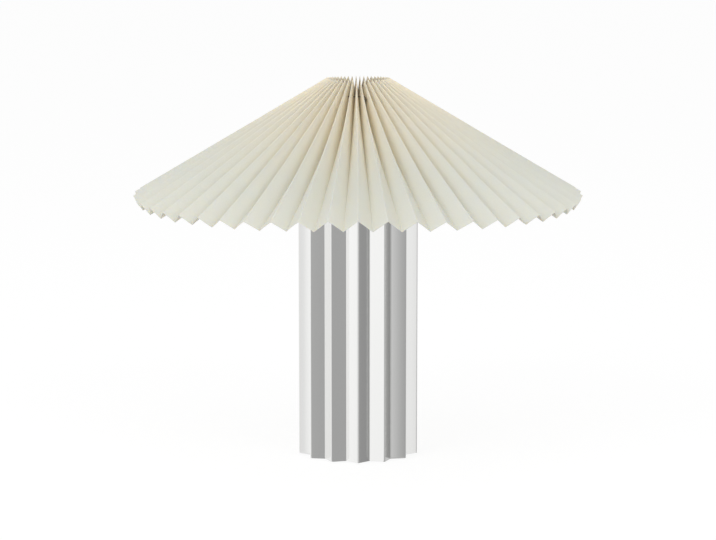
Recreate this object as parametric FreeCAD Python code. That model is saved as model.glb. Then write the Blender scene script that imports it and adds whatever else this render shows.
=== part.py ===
"""Pleated paper table lamp.

A cone of parallel-pleated paper stands on a wire carrier over a folded aluminium column.
The origin is the middle of the foot, +Z is up and the front faces -Y.  An azimuth is
measured from the front towards +X, in degrees.  All sizes are millimetres.
"""
import FreeCAD
import Part
import math
import os

V = FreeCAD.Vector
UP = V(0, 0, 1)

# Clearances
SLIP = 0.1                # radial room of a bolt, rod or insert in its hole
NEST = 0.15               # room between a star-shaped spigot and the sleeve around it
LIFT_GAP = 0.3            # gap between pieces that lift apart

# Column: a sheet folded to a star in plan
COLUMN_POINTS = 14
COLUMN_OUTER_R = 62.0     # to the sharp outward folds
COLUMN_INNER_R = 52.8     # to the sharp inward folds
COLUMN_WALL = 1.0
COLUMN_BEND_R = 0.5       # inside radius of each fold
COLUMN_LENGTH = 260.0

# Foot and ballast
FELT_R = 49.0
FELT_THICK = 0.8
BASE_FLANGE_THICK = 1.2
BASE_SPIGOT_THICK = 3.0
BALLAST_R = 46.0
BALLAST_HEIGHT = 22.0

# Threaded tube through the column
ROD_R = 5.0
ROD_BORE_R = 4.0
NUT_ACROSS_FLATS = 17.0
NUT_HEIGHT = 5.0
WASHER_R = 11.0
WASHER_THICK = 1.5
WINDOW_WIDTH = 6.4        # slot in the tube where the leads enter
WINDOW_BELOW = 2.5        # slot's lower end below the terminal axis
WINDOW_HEIGHT = 17.0

# Cup that closes the column's top and carries the lampholder
CUP_FLANGE_THICK = 1.5
CUP_SPIGOT_THICK = 3.0
CUP_INNER_R = 30.0
CUP_WALL = 1.5
CUP_DEPTH = 48.0
VENT_COUNT = 12
VENT_R = 3.0
VENT_CIRCLE_R = 40.0

# Cable inlet in a rear facet
GROMMET_HEIGHT = 36.0
GROMMET_BORE_R = 3.4
GROMMET_BODY_R = 4.6
GROMMET_FLANGE_R = 6.0
GROMMET_FLANGE_THICK = 1.6

# Terminal block, its leads and the earth connection
BLOCK_LENGTH = 30.0
BLOCK_DEPTH = 15.0
BLOCK_HEIGHT = 14.0
BLOCK_Y = 20.0            # front face
BLOCK_WAYS = 3
BLOCK_WAY_PITCH = 9.0
BLOCK_ENTRY_R = 1.7
BLOCK_SCREW_WELL_R = 2.0
BLOCK_SCREW_WELL_DEPTH = 5.0
CLAMP_SCREW_R = 1.8
CLAMP_SCREW_HEIGHT = 3.5
FIXING_SCREW_R = 1.5
FIXING_SCREW_DEPTH = 8.0  # into the ballast
FIXING_HEAD_R = 2.8
FIXING_HEAD_HEIGHT = 1.8
LEAD_R = 1.0
LEAD_OFFSET = 1.6         # of each lead from the tube's axis
LEAD_IN_BLOCK = 5.0
LEAD_STUB = 6.0            # straight end of a lead in front of the block
LEAD_CLIMB = 11.0          # rise from the terminals to the lead's place in the tube
LEAD_ENTRY_RISE = 2.0      # rise at the tube's window
EARTH_SCREW_X = 27.0
EARTH_SCREW_Y = 2.0
EARTH_LUG_R = 4.0
EARTH_LUG_THICK = 0.8
EARTH_BARREL_LENGTH = 3.5
EARTH_BARREL_REACH = 3.0   # from the lug's eye to the barrel's mouth
EARTH_LEAD_IN_BARREL = 2.0
EARTH_STUB = 5.0           # straight end of the earth lead in front of the block
EARTH_RUN = 6.0            # from that end to the lead's bend, across the foot

# Lampholder, medium screw size
HOLDER_ENTRY = 8.0        # length of tube inside the cap
HOLDER_CAP_R = 20.0
HOLDER_CAP_WALL = 2.4
HOLDER_CAP_FLOOR = 4.0
HOLDER_CAP_HEIGHT = 28.0
HOLDER_LEDGE = 2.0
HOLDER_SKIRT_R = 19.5
HOLDER_SKIRT_HEIGHT = 30.0
HOLDER_SKIRT_BORE_R = 15.0
INSERT_HEIGHT = 8.0
INSERT_BELOW_SEAM = 4.0   # insert's lower face below the joint of cap and skirt
POST_R = 2.0
POST_X = 9.0
POST_BELOW_INSERT = 4.0
SHELL_INNER_R = 13.5
SHELL_WALL = 0.5
SHELL_HEIGHT = 23.0
STRIP_THICK = 0.5
STRIP_WIDTH = 6.0
TONGUE_RISE = 2.3

# Threaded rings and wire carrier
RING_R = 24.0
RING_HEIGHT = 5.0
RING_GRIPS = 24
RING_GRIP_R = 0.8
RINGS_ABOVE_COLUMN = 1.5
HUB_R = 32.0
HUB_THICK = 1.5
WIRE_R = 1.5
WIRE_COUNT = 3
WIRE_START_R = 25.0
WIRE_WAIST_R = 38.0
WIRE_NECK_DROP = 14.0     # straight end below the carrier ring
WIRE_SHOULDER_DROP = 34.0
CARRIER_RING_R = 34.0

# Bulb
BULB_LENGTH = 78.0
GLOBE_R = 22.5
GLASS_WALL = 0.7
BULB_NECK_R = 12.3
BULB_BLEND_R = 14.0
BULB_CAP_R = 13.2
BULB_CAP_WALL = 0.4
BULB_CAP_HEIGHT = 21.0
BULB_CAP_DRAWN = 1.0       # height over which the cap's foot is drawn in
BULB_NECK_IN_CAP = 2.0     # glass inside the cap
TIP_R = 4.5
TIP_HEIGHT = 1.8
INSULATOR_HEIGHT = 3.6
INSULATOR_TOP_R = 11.5
STEM_R = 3.5
STEM_FLARE_R = 11.0
STEM_FLARE_THICK = 1.0
STEM_FLARE_RISE = 6.0
STEM_POST_R = 1.2
STEM_POST_TAPER = 3.0
FILAMENT_COUNT = 4
FILAMENT_R = 0.9
FILAMENT_LENGTH = 26.0
FILAMENT_CIRCLE_R = 7.0
HOOP_WIRE_R = 0.35

# Shade: a strip pleated into equal facets and drawn together at the top
PLEATS = 51
SHADE_RIM_R = 225.0       # outward folds, at the rim
SHADE_TOP_R = 32.0        # outward folds, at the top
SHADE_TOP_Z = 383.0
SHADE_HEIGHT = 120.0      # of the outward folds
FACET_WIDTH = 16.8        # paper between neighbouring folds
PAPER = 0.35
STRIP_COUNT = 6           # lengths of paper that are joined into the strip
DIVIDED_AT = (0.0, 0.12, 0.4, 1.0)  # shares of the slant at which the facets are divided
STRING_R = 0.5
STRING_SLANT = 15.0       # below the top edge, along the paper
STRING_DEPTH = 9.5        # inward from the outer folds
KNOT_R = 1.0
KNOT_TAIL = 7.0
KNOT_AZIMUTH_PITCHES = 1.5


# Heights that follow from the sizes above
base_z = FELT_THICK
column_z = base_z + BASE_FLANGE_THICK
base_top_z = column_z + BASE_SPIGOT_THICK
ballast_top_z = base_top_z + BALLAST_HEIGHT
column_top_z = column_z + COLUMN_LENGTH
cup_top_z = column_top_z + CUP_FLANGE_THICK
cup_floor_z = cup_top_z - CUP_DEPTH
terminal_z = ballast_top_z + BLOCK_HEIGHT / 2
holder_z = cup_floor_z + WASHER_THICK + NUT_HEIGHT + SLIP
rod_top_z = holder_z + HOLDER_ENTRY
seam_z = holder_z + HOLDER_CAP_HEIGHT
insert_z = seam_z - INSERT_BELOW_SEAM
insert_top_z = insert_z + INSERT_HEIGHT
post_z = insert_z - POST_BELOW_INSERT
shell_z = insert_top_z + STRIP_THICK + SLIP
holder_rim_z = seam_z + HOLDER_SKIRT_HEIGHT
lower_ring_z = cup_top_z + RINGS_ABOVE_COLUMN
hub_z = lower_ring_z + RING_HEIGHT
upper_ring_z = hub_z + HUB_THICK
bulb_z = insert_top_z + TONGUE_RISE + LIFT_GAP


def polar(radius, azimuth, z=0.0):
    """Return the point at a radius and azimuth."""
    angle = math.radians(azimuth)
    return V(radius * math.sin(angle), -radius * math.cos(angle), z)


def disc(radius, z, height):
    return Part.makeCylinder(radius, height, V(0, 0, z))


def ring(outer, inner, z, height):
    return disc(outer, z, height).cut(disc(inner, z, height))


def box(x0, x1, y0, y1, z0, z1):
    return Part.makeBox(x1 - x0, y1 - y0, z1 - z0, V(x0, y0, z0))


def revolve(edges):
    """Turn a closed outline of radius and height, given as edges, about the Z axis."""
    face = Part.Face(Part.Wire(Part.__sortEdges__(edges)))
    return face.revolve(V(0, 0, 0), UP, 360)


def polygon_edges(points):
    """Return the edges of a closed outline of (radius, height) corners."""
    corners = [V(r, 0, z) for r, z in points]
    return [Part.makeLine(a, b) for a, b in zip(corners, corners[1:] + corners[:1])]


def turned(points):
    return revolve(polygon_edges(points))


def around(shape, azimuth):
    """Return a copy of a shape turned about the lamp's axis."""
    copy = shape.copy()
    copy.rotate(V(0, 0, 0), UP, azimuth)
    return copy


def corner_arc(before, corner, after, radius):
    """Return the start, middle and end of the arc that rounds a corner."""
    to_before = (before - corner).normalize()
    to_after = (after - corner).normalize()
    half = to_before.getAngle(to_after) / 2
    tangent = radius / math.tan(half)
    bisector = (to_before + to_after).normalize()
    middle = corner + bisector * (radius / math.sin(half) - radius)
    return corner + to_before * tangent, middle, corner + to_after * tangent


def rounded_loop(corners, radii):
    """Return the closed wire through some corners, each rounded by its radius."""
    count = len(corners)
    arcs = [corner_arc(corners[i - 1], corners[i], corners[(i + 1) % count], radii[i])
            for i in range(count)]
    edges = []
    for i, (start, middle, end) in enumerate(arcs):
        edges.append(Part.Arc(start, middle, end).toShape())
        edges.append(Part.makeLine(end, arcs[(i + 1) % count][0]))
    return Part.Wire(edges)


def bent_rod(points, radius):
    """Sweep a round rod along straight runs joined by the widest arcs that fit."""
    edges = []
    start = points[0]
    for before, corner, after in zip(points, points[1:], points[2:]):
        shorter = min((before - corner).Length, (after - corner).Length)
        half_turn = (math.pi - (before - corner).getAngle(after - corner)) / 2
        arc = corner_arc(before, corner, after, 0.45 * shorter / math.tan(half_turn))
        edges.append(Part.makeLine(start, arc[0]))
        edges.append(Part.Arc(*arc).toShape())
        start = arc[2]
    edges.append(Part.makeLine(start, points[-1]))
    path = Part.Wire(edges)
    section = Part.Wire(Part.makeCircle(radius, points[0], points[1] - points[0]))
    rod = path.makePipeShell([section], True, True)
    expected = math.pi * radius ** 2 * path.Length
    print("rod of radius %.2f: volume is %.4f of section times length" % (radius, rod.Volume / expected))
    return rod


def hex_nut(z):
    """Return a nut on the tube, its lower face at a height."""
    corners = [polar(NUT_ACROSS_FLATS / 2 / math.cos(math.pi / 6), 60 * i, z) for i in range(6)]
    prism = Part.Face(Part.makePolygon(corners + corners[:1])).extrude(UP * NUT_HEIGHT)
    return prism.cut(disc(ROD_R + SLIP, z, NUT_HEIGHT))


def slotted_screw(shank_r, shank_z, head_r, head_z, head_height, x, y):
    """Return a screw with a slot across its head."""
    shank = Part.makeCylinder(shank_r, head_z - shank_z, V(x, y, shank_z))
    head = Part.makeCylinder(head_r, head_height, V(x, y, head_z))
    slot_half = head_r / 6
    slot = box(x - head_r, x + head_r, y - slot_half, y + slot_half,
               head_z + head_height / 2, head_z + head_height)
    return shank.fuse(head).removeSplitter().cut(slot)


# ---- column -------------------------------------------------------------------------

half_step = math.pi / COLUMN_POINTS
fold_run = COLUMN_INNER_R * math.sin(half_step)
fold_rise = COLUMN_OUTER_R - COLUMN_INNER_R * math.cos(half_step)
outer_half_angle = math.atan2(fold_run, fold_rise)
inner_half_angle = outer_half_angle + half_step


def star_prism(inset, z, height):
    """Return a prism whose star-shaped outline lies inside the column's outer face."""
    outer_r = COLUMN_OUTER_R - inset / math.sin(outer_half_angle)
    inner_r = COLUMN_INNER_R - inset / math.sin(inner_half_angle)
    outward_bend = max(COLUMN_BEND_R + COLUMN_WALL - inset, COLUMN_BEND_R / 2)
    inward_bend = COLUMN_BEND_R + inset
    corners = []
    radii = []
    for i in range(COLUMN_POINTS):
        corners.append(polar(outer_r, 360 * i / COLUMN_POINTS, z))
        corners.append(polar(inner_r, 360 * (i + 0.5) / COLUMN_POINTS, z))
        radii += [outward_bend, inward_bend]
    return Part.Face(rounded_loop(corners, radii)).extrude(UP * height)


def grommet_axis():
    """Return the middle of a rear facet's outer face and the facet's outward normal."""
    rear_fold = COLUMN_POINTS // 2
    ridge = polar(COLUMN_OUTER_R, 360 * rear_fold / COLUMN_POINTS, GROMMET_HEIGHT)
    groove = polar(COLUMN_INNER_R, 360 * (rear_fold + 0.5) / COLUMN_POINTS, GROMMET_HEIGHT)
    along = (groove - ridge).normalize()
    normal = along.cross(UP)
    middle = (ridge + groove) * 0.5
    return middle, normal if normal.dot(middle) > 0 else normal * -1


def column_sleeve():
    sleeve = star_prism(0, column_z, COLUMN_LENGTH).cut(
        star_prism(COLUMN_WALL, column_z, COLUMN_LENGTH))
    middle, normal = grommet_axis()
    reach = 2 * COLUMN_WALL
    return sleeve.cut(Part.makeCylinder(GROMMET_BODY_R + SLIP, 2 * reach, middle - normal * reach, normal))


def cable_grommet():
    """Return the bush in the rear facet, flanged on both sides of the wall."""
    middle, normal = grommet_axis()
    wall_back = -COLUMN_WALL - SLIP
    face = SLIP / 2
    far = wall_back - GROMMET_FLANGE_THICK
    near = face + GROMMET_FLANGE_THICK
    bush = turned([(GROMMET_BORE_R, far), (GROMMET_FLANGE_R, far), (GROMMET_FLANGE_R, wall_back),
                   (GROMMET_BODY_R, wall_back), (GROMMET_BODY_R, face), (GROMMET_FLANGE_R, face),
                   (GROMMET_FLANGE_R, near), (GROMMET_BORE_R, near)])
    bush.Placement = FreeCAD.Placement(middle, FreeCAD.Rotation(UP, normal))
    return bush


# ---- foot, ballast and threaded tube ------------------------------------------------

def felt_pad():
    return disc(FELT_R, 0, FELT_THICK)


def base_plate():
    flange = star_prism(0, base_z, BASE_FLANGE_THICK)
    spigot = star_prism(COLUMN_WALL + NEST, column_z, BASE_SPIGOT_THICK)
    bore = disc(ROD_R + SLIP, base_z, BASE_FLANGE_THICK + BASE_SPIGOT_THICK)
    return flange.fuse(spigot).cut(bore)


def fixing_screw_places():
    """Return the places of the screws that hold the terminal block, between its ways."""
    half = BLOCK_WAY_PITCH / 2
    return [(-half, BLOCK_Y + BLOCK_DEPTH / 2), (half, BLOCK_Y + BLOCK_DEPTH / 2)]


def ballast():
    weight = disc(BALLAST_R, base_top_z, BALLAST_HEIGHT).cut(
        disc(ROD_R + SLIP, base_top_z, BALLAST_HEIGHT))
    for x, y in fixing_screw_places() + [(EARTH_SCREW_X, EARTH_SCREW_Y)]:
        hole_z = ballast_top_z - FIXING_SCREW_DEPTH - SLIP
        weight = weight.cut(Part.makeCylinder(FIXING_SCREW_R + SLIP, FIXING_SCREW_DEPTH + SLIP, V(x, y, hole_z)))
    rim = [edge for edge in weight.Edges
           if edge.BoundBox.ZMin > ballast_top_z - SLIP and edge.BoundBox.XMax > BALLAST_R - SLIP]
    return weight.makeChamfer(BALLAST_HEIGHT / 15, rim)


def tie_rod():
    tube = ring(ROD_R, ROD_BORE_R, base_z, rod_top_z - base_z)
    window = box(-WINDOW_WIDTH / 2, WINDOW_WIDTH / 2, 0, 2 * ROD_R,
                 terminal_z - WINDOW_BELOW, terminal_z - WINDOW_BELOW + WINDOW_HEIGHT)
    return tube.cut(window)


def rod_nuts():
    nuts = [hex_nut(ballast_top_z + WASHER_THICK), hex_nut(cup_floor_z - CUP_WALL - NUT_HEIGHT),
            hex_nut(cup_floor_z + WASHER_THICK)]
    return Part.makeCompound(nuts)


def rod_washers():
    return Part.makeCompound([ring(WASHER_R, ROD_R + SLIP, z, WASHER_THICK)
                              for z in (ballast_top_z, cup_floor_z)])


def top_cup():
    """Return the flanged cup: star-shaped lid, spigot inside the sleeve, and well."""
    flange = star_prism(COLUMN_WALL / 2, column_top_z, CUP_FLANGE_THICK)
    spigot = star_prism(COLUMN_WALL + NEST, column_top_z - CUP_SPIGOT_THICK, CUP_SPIGOT_THICK)
    well = disc(CUP_INNER_R + CUP_WALL, cup_floor_z - CUP_WALL, CUP_DEPTH + CUP_WALL)
    cup = flange.fuse([spigot, well])
    cup = cup.cut(disc(CUP_INNER_R, cup_floor_z, CUP_DEPTH))
    cup = cup.cut(disc(ROD_R + SLIP, cup_floor_z - CUP_WALL, CUP_WALL))
    vent = Part.makeCylinder(VENT_R, CUP_FLANGE_THICK + CUP_SPIGOT_THICK,
                             polar(VENT_CIRCLE_R, 0, column_top_z - CUP_SPIGOT_THICK))
    vents = [around(vent, 360 * i / VENT_COUNT) for i in range(VENT_COUNT)]
    return cup.cut(Part.makeCompound(vents))


# ---- electrics in the foot ----------------------------------------------------------

def way_x(index):
    """Return the place across the block of one of its ways."""
    return (index - (BLOCK_WAYS - 1) / 2) * BLOCK_WAY_PITCH


def terminal_block():
    block = box(-BLOCK_LENGTH / 2, BLOCK_LENGTH / 2, BLOCK_Y, BLOCK_Y + BLOCK_DEPTH,
                ballast_top_z, ballast_top_z + BLOCK_HEIGHT)
    cutters = []
    for i in range(BLOCK_WAYS):
        cutters.append(Part.makeCylinder(BLOCK_ENTRY_R, BLOCK_DEPTH, V(way_x(i), BLOCK_Y, terminal_z), V(0, 1, 0)))
        cutters.append(Part.makeCylinder(BLOCK_SCREW_WELL_R, BLOCK_SCREW_WELL_DEPTH,
                                         V(way_x(i), BLOCK_Y + BLOCK_DEPTH / 2,
                                           ballast_top_z + BLOCK_HEIGHT - BLOCK_SCREW_WELL_DEPTH)))
    for x, y in fixing_screw_places():
        cutters.append(Part.makeCylinder(FIXING_SCREW_R + SLIP, BLOCK_HEIGHT, V(x, y, ballast_top_z)))
    return block.cut(cutters)


def terminal_screws():
    """Return the clamping screws, one in the top of each way."""
    foot = ballast_top_z + BLOCK_HEIGHT - BLOCK_SCREW_WELL_DEPTH
    y = BLOCK_Y + BLOCK_DEPTH / 2
    return Part.makeCompound([slotted_screw(CLAMP_SCREW_R, foot, CLAMP_SCREW_R, foot + CLAMP_SCREW_HEIGHT / 2,
                                            CLAMP_SCREW_HEIGHT / 2, way_x(i), y) for i in range(BLOCK_WAYS)])


def block_screws():
    return Part.makeCompound([slotted_screw(FIXING_SCREW_R, ballast_top_z - FIXING_SCREW_DEPTH, FIXING_HEAD_R,
                                            ballast_top_z + BLOCK_HEIGHT, FIXING_HEAD_HEIGHT, x, y)
                              for x, y in fixing_screw_places()])


def lamp_lead(side):
    """Return a lead from the block, in at the tube's window and up to a holder post."""
    way = way_x(0 if side < 0 else 1)
    x = side * LEAD_OFFSET
    post_x = side * POST_X
    rise = post_z - rod_top_z
    return bent_rod([
        V(way, BLOCK_Y + LEAD_IN_BLOCK, terminal_z),
        V(way, BLOCK_Y - LEAD_STUB, terminal_z),
        V(x, ROD_R + ROD_BORE_R, terminal_z + LEAD_ENTRY_RISE),
        V(x, 0, terminal_z + LEAD_CLIMB),
        V(x, 0, rod_top_z + rise * 0.2),
        V(post_x, 0, rod_top_z + rise * 0.7),
        V(post_x, 0, post_z)], LEAD_R)


def earth_lead():
    """Return the lead from the block's last way to the earth lug."""
    way = way_x(BLOCK_WAYS - 1)
    start_y = BLOCK_Y - EARTH_STUB
    lug_mid = ballast_top_z + EARTH_LUG_THICK / 2 + LEAD_R
    barrel_x = EARTH_SCREW_X - EARTH_LUG_R - EARTH_BARREL_REACH
    return bent_rod([
        V(way, BLOCK_Y + LEAD_IN_BLOCK, terminal_z),
        V(way, start_y, terminal_z),
        V(EARTH_SCREW_X * 0.45, start_y - EARTH_RUN, terminal_z - LEAD_ENTRY_RISE),
        V(barrel_x - 2 * EARTH_LEAD_IN_BARREL, EARTH_SCREW_Y, lug_mid),
        V(barrel_x + EARTH_LEAD_IN_BARREL, EARTH_SCREW_Y, lug_mid)], LEAD_R)


def earth_lug():
    """Return the ring terminal and the barrel that grips the earth lead."""
    eye = Part.makeCylinder(EARTH_LUG_R, EARTH_LUG_THICK, V(EARTH_SCREW_X, EARTH_SCREW_Y, ballast_top_z))
    eye = eye.cut(Part.makeCylinder(FIXING_SCREW_R + SLIP, EARTH_LUG_THICK,
                                    V(EARTH_SCREW_X, EARTH_SCREW_Y, ballast_top_z)))
    lug_mid = ballast_top_z + EARTH_LUG_THICK / 2 + LEAD_R
    barrel_x = EARTH_SCREW_X - EARTH_LUG_R - EARTH_BARREL_REACH
    barrel = Part.makeCylinder(LEAD_R + EARTH_LUG_THICK / 2, EARTH_BARREL_LENGTH,
                               V(barrel_x, EARTH_SCREW_Y, lug_mid), V(1, 0, 0))
    bore = Part.makeCylinder(LEAD_R, EARTH_LEAD_IN_BARREL, V(barrel_x, EARTH_SCREW_Y, lug_mid), V(1, 0, 0))
    return eye.fuse(barrel).cut(bore).cut(
        box(barrel_x, EARTH_SCREW_X, -FELT_R, FELT_R, base_z, ballast_top_z)).cut(
        Part.makeCylinder(FIXING_HEAD_R + SLIP, BLOCK_HEIGHT,
                          V(EARTH_SCREW_X, EARTH_SCREW_Y, ballast_top_z + EARTH_LUG_THICK)))


def earth_screw():
    return slotted_screw(FIXING_SCREW_R, ballast_top_z - FIXING_SCREW_DEPTH, FIXING_HEAD_R,
                         ballast_top_z + EARTH_LUG_THICK, FIXING_HEAD_HEIGHT, EARTH_SCREW_X, EARTH_SCREW_Y)


# ---- lampholder ---------------------------------------------------------------------

cap_inner_r = HOLDER_CAP_R - HOLDER_CAP_WALL


def holder_cap():
    """Return the lower cover, with the tube's entry and the insert's ledge."""
    entry_r = ROD_R + SLIP
    floor_z = holder_z + HOLDER_CAP_FLOOR
    return turned([
        (entry_r, holder_z), (HOLDER_CAP_R, holder_z), (HOLDER_CAP_R, seam_z), (cap_inner_r, seam_z),
        (cap_inner_r, insert_z), (cap_inner_r - HOLDER_LEDGE, insert_z),
        (cap_inner_r - HOLDER_LEDGE, floor_z), (entry_r, floor_z)])


def holder_skirt():
    """Return the threaded upper cover, with a shoulder that traps the insert."""
    return turned([
        (cap_inner_r, seam_z), (HOLDER_SKIRT_R, seam_z), (HOLDER_SKIRT_R, holder_rim_z),
        (HOLDER_SKIRT_BORE_R, holder_rim_z), (HOLDER_SKIRT_BORE_R, insert_top_z), (cap_inner_r, insert_top_z)])


def post_places():
    return [(-POST_X, 0), (POST_X, 0)]


def holder_insert():
    insert = disc(cap_inner_r - SLIP, insert_z, INSERT_HEIGHT)
    for x, y in post_places():
        insert = insert.cut(Part.makeCylinder(POST_R + SLIP, INSERT_HEIGHT, V(x, y, insert_z)))
    return insert


def holder_posts():
    """Return the brass posts that join the leads to the contacts."""
    return Part.makeCompound([Part.makeCylinder(POST_R, insert_top_z - post_z, V(x, y, post_z))
                              for x, y in post_places()])


def thread_shell():
    return ring(SHELL_INNER_R + SHELL_WALL, SHELL_INNER_R, shell_z, SHELL_HEIGHT)


def strip(profile, width):
    """Return a flat strip of metal from its side outline of (x, z) corners."""
    corners = [V(x, -width / 2, z) for x, z in profile]
    return Part.Face(Part.makePolygon(corners + corners[:1])).extrude(V(0, width, 0))


def centre_contact():
    """Return the sprung tongue under the bulb's tip."""
    low = insert_top_z
    high = low + TONGUE_RISE
    far = -POST_X - POST_R
    return strip([(far, low), (-TIP_R, low), (TIP_R, high - STRIP_THICK), (TIP_R, high),
                  (-TIP_R, low + STRIP_THICK), (far, low + STRIP_THICK)], STRIP_WIDTH)


def side_contact():
    """Return the strip from the other post up the outside of the thread shell."""
    low = insert_top_z
    inner = SHELL_INNER_R + SHELL_WALL + SLIP
    outer = inner + STRIP_THICK
    return strip([(POST_X - POST_R, low), (outer, low), (outer, low + SHELL_HEIGHT / 2),
                  (inner, low + SHELL_HEIGHT / 2), (inner, low + STRIP_THICK),
                  (POST_X - POST_R, low + STRIP_THICK)], STRIP_WIDTH)


def threaded_ring(z):
    """Return a ring on the skirt's thread, with finger grips round its edge."""
    body = ring(RING_R, HOLDER_SKIRT_R + SLIP, z, RING_HEIGHT)
    grip = Part.makeCylinder(RING_GRIP_R, RING_HEIGHT, polar(RING_R, 0, z))
    return body.cut(Part.makeCompound([around(grip, 360 * i / RING_GRIPS) for i in range(RING_GRIPS)]))


# ---- shade --------------------------------------------------------------------------

half_pitch = math.pi / PLEATS
slope = math.atan2(SHADE_HEIGHT, SHADE_RIM_R - SHADE_TOP_R)
shade_slant = math.hypot(SHADE_HEIGHT, SHADE_RIM_R - SHADE_TOP_R)


def pleat_depth(ridge_r):
    """Return how deep a pleat of full facets is where its outer folds have this radius."""
    narrow = 1 - math.cos(half_pitch)
    lean = ridge_r * math.sin(slope) * narrow
    return lean + math.sqrt(lean ** 2 + FACET_WIDTH ** 2 - 2 * ridge_r ** 2 * narrow)


def fold_corner(slant, side, valley):
    """Return radius and height of a fold's outer (+1) or inner (-1) face at a slant length."""
    ridge_r = SHADE_TOP_R + slant * math.cos(slope)
    ridge_z = SHADE_TOP_Z - slant * math.sin(slope)
    half_open = math.asin(ridge_r * half_pitch / FACET_WIDTH)
    inward = pleat_depth(ridge_r) if valley else 0.0
    inward -= side * PAPER / 2 / math.sin(half_open)
    return ridge_r - inward * math.sin(slope), ridge_z - inward * math.cos(slope)


def flat_face(*corners):
    return Part.Face(Part.makePolygon(corners + corners[:1]))


facet_slants = [share * shade_slant for share in DIVIDED_AT]


def fold_corners(index):
    """Return a fold's corners by side of the paper and slant length; even folds point outward."""
    corners = {}
    for side in (1, -1):
        for slant in facet_slants:
            radius, z = fold_corner(slant, side, index % 2 == 1)
            corners[side, slant] = polar(radius, 180 * index / PLEATS, z)
    return corners


def strip_of_pleats(first, last):
    """Return one length of the paper, from an outward fold to a later one, as a thin solid.

    Each facet is divided into flat triangles, because its two folds aren't in one plane.
    """
    folds = [fold_corners(index) for index in range(first, last + 1)]
    faces = []
    for i, (here, there) in enumerate(zip(folds, folds[1:])):
        ridge, valley = (here, there) if i % 2 == 0 else (there, here)
        for upper, lower in zip(facet_slants, facet_slants[1:]):
            for side in (1, -1):
                faces.append(flat_face(ridge[side, upper], ridge[side, lower], valley[side, lower]))
                faces.append(flat_face(ridge[side, upper], valley[side, upper], valley[side, lower]))
        for slant in (facet_slants[0], facet_slants[-1]):
            faces.append(flat_face(ridge[1, slant], valley[1, slant], valley[-1, slant]))
            faces.append(flat_face(ridge[1, slant], ridge[-1, slant], valley[-1, slant]))
    for seam in (folds[0], folds[-1]):
        for upper, lower in zip(facet_slants, facet_slants[1:]):
            faces.append(flat_face(seam[1, upper], seam[1, lower], seam[-1, lower], seam[-1, upper]))
    paper = Part.makeCompound(faces)
    paper.sewShape()
    solid = Part.Solid(paper.Shells[0])
    if solid.Volume < 0:
        solid.reverse()
    return solid


def pleated_shade():
    """Return the lengths of pleated paper that meet edge to edge round the cone."""
    seams = [2 * round(PLEATS * i / STRIP_COUNT) for i in range(STRIP_COUNT + 1)]
    return Part.makeCompound([strip_of_pleats(first, last) for first, last in zip(seams, seams[1:])])


def string_place():
    """Return radius and height of the gathering string's loop."""
    radius = SHADE_TOP_R + STRING_SLANT * math.cos(slope) - STRING_DEPTH * math.sin(slope)
    return radius, SHADE_TOP_Z - STRING_SLANT * math.sin(slope) - STRING_DEPTH * math.cos(slope)


def gather_string():
    loop_r, loop_z = string_place()
    return Part.makeTorus(loop_r, STRING_R, V(0, 0, loop_z))


def string_knot():
    """Return the knot and its two ends, lying in a pleat on the string."""
    loop_r, loop_z = string_place()
    azimuth = 360 * KNOT_AZIMUTH_PITCHES / PLEATS
    outward = polar(math.sin(slope), azimuth, math.cos(slope))
    downhill = polar(math.cos(slope), azimuth, -math.sin(slope))
    centre = polar(loop_r, azimuth, loop_z) + outward * (STRING_R + KNOT_R)
    knot = Part.makeSphere(KNOT_R, centre)
    tail = Part.makeCylinder(STRING_R, KNOT_TAIL, centre, downhill)
    return knot.fuse(tail)


# ---- carrier ------------------------------------------------------------------------

def carrier_ring_height():
    """Return the height at which the wire ring meets the inner folds from below."""
    top_r, top_z = fold_corner(0.0, -1, True)
    low_r, low_z = fold_corner(DIVIDED_AT[1] * shade_slant, -1, True)
    fold_slope = math.atan2(top_z - low_z, low_r - top_r)
    fold_z = top_z - (CARRIER_RING_R - top_r) * math.tan(fold_slope)
    return fold_z - (WIRE_R + LIFT_GAP) / math.cos(fold_slope)


def carrier_hub():
    return ring(HUB_R, HOLDER_SKIRT_R + SLIP, hub_z, HUB_THICK)


def carrier_wires():
    """Return the bent wires from the hub up to the ring."""
    low = hub_z + HUB_THICK + WIRE_R
    high = carrier_ring_height() - WIRE_R
    points = [(WIRE_START_R, low), (WIRE_WAIST_R, low), (WIRE_WAIST_R, high - WIRE_SHOULDER_DROP),
              (CARRIER_RING_R, high - WIRE_NECK_DROP), (CARRIER_RING_R, high)]
    wire = bent_rod([polar(r, 180, z) for r, z in points], WIRE_R)
    return Part.makeCompound([around(wire, 360 * i / WIRE_COUNT) for i in range(WIRE_COUNT)])


def carrier_ring():
    return Part.makeTorus(CARRIER_RING_R, WIRE_R, V(0, 0, carrier_ring_height()))


# ---- bulb ---------------------------------------------------------------------------

cap_z = bulb_z + TIP_HEIGHT + INSULATOR_HEIGHT
cap_top_z = cap_z + BULB_CAP_HEIGHT
globe_z = bulb_z + BULB_LENGTH - GLOBE_R
filament_z = globe_z - FILAMENT_LENGTH / 2


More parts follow.
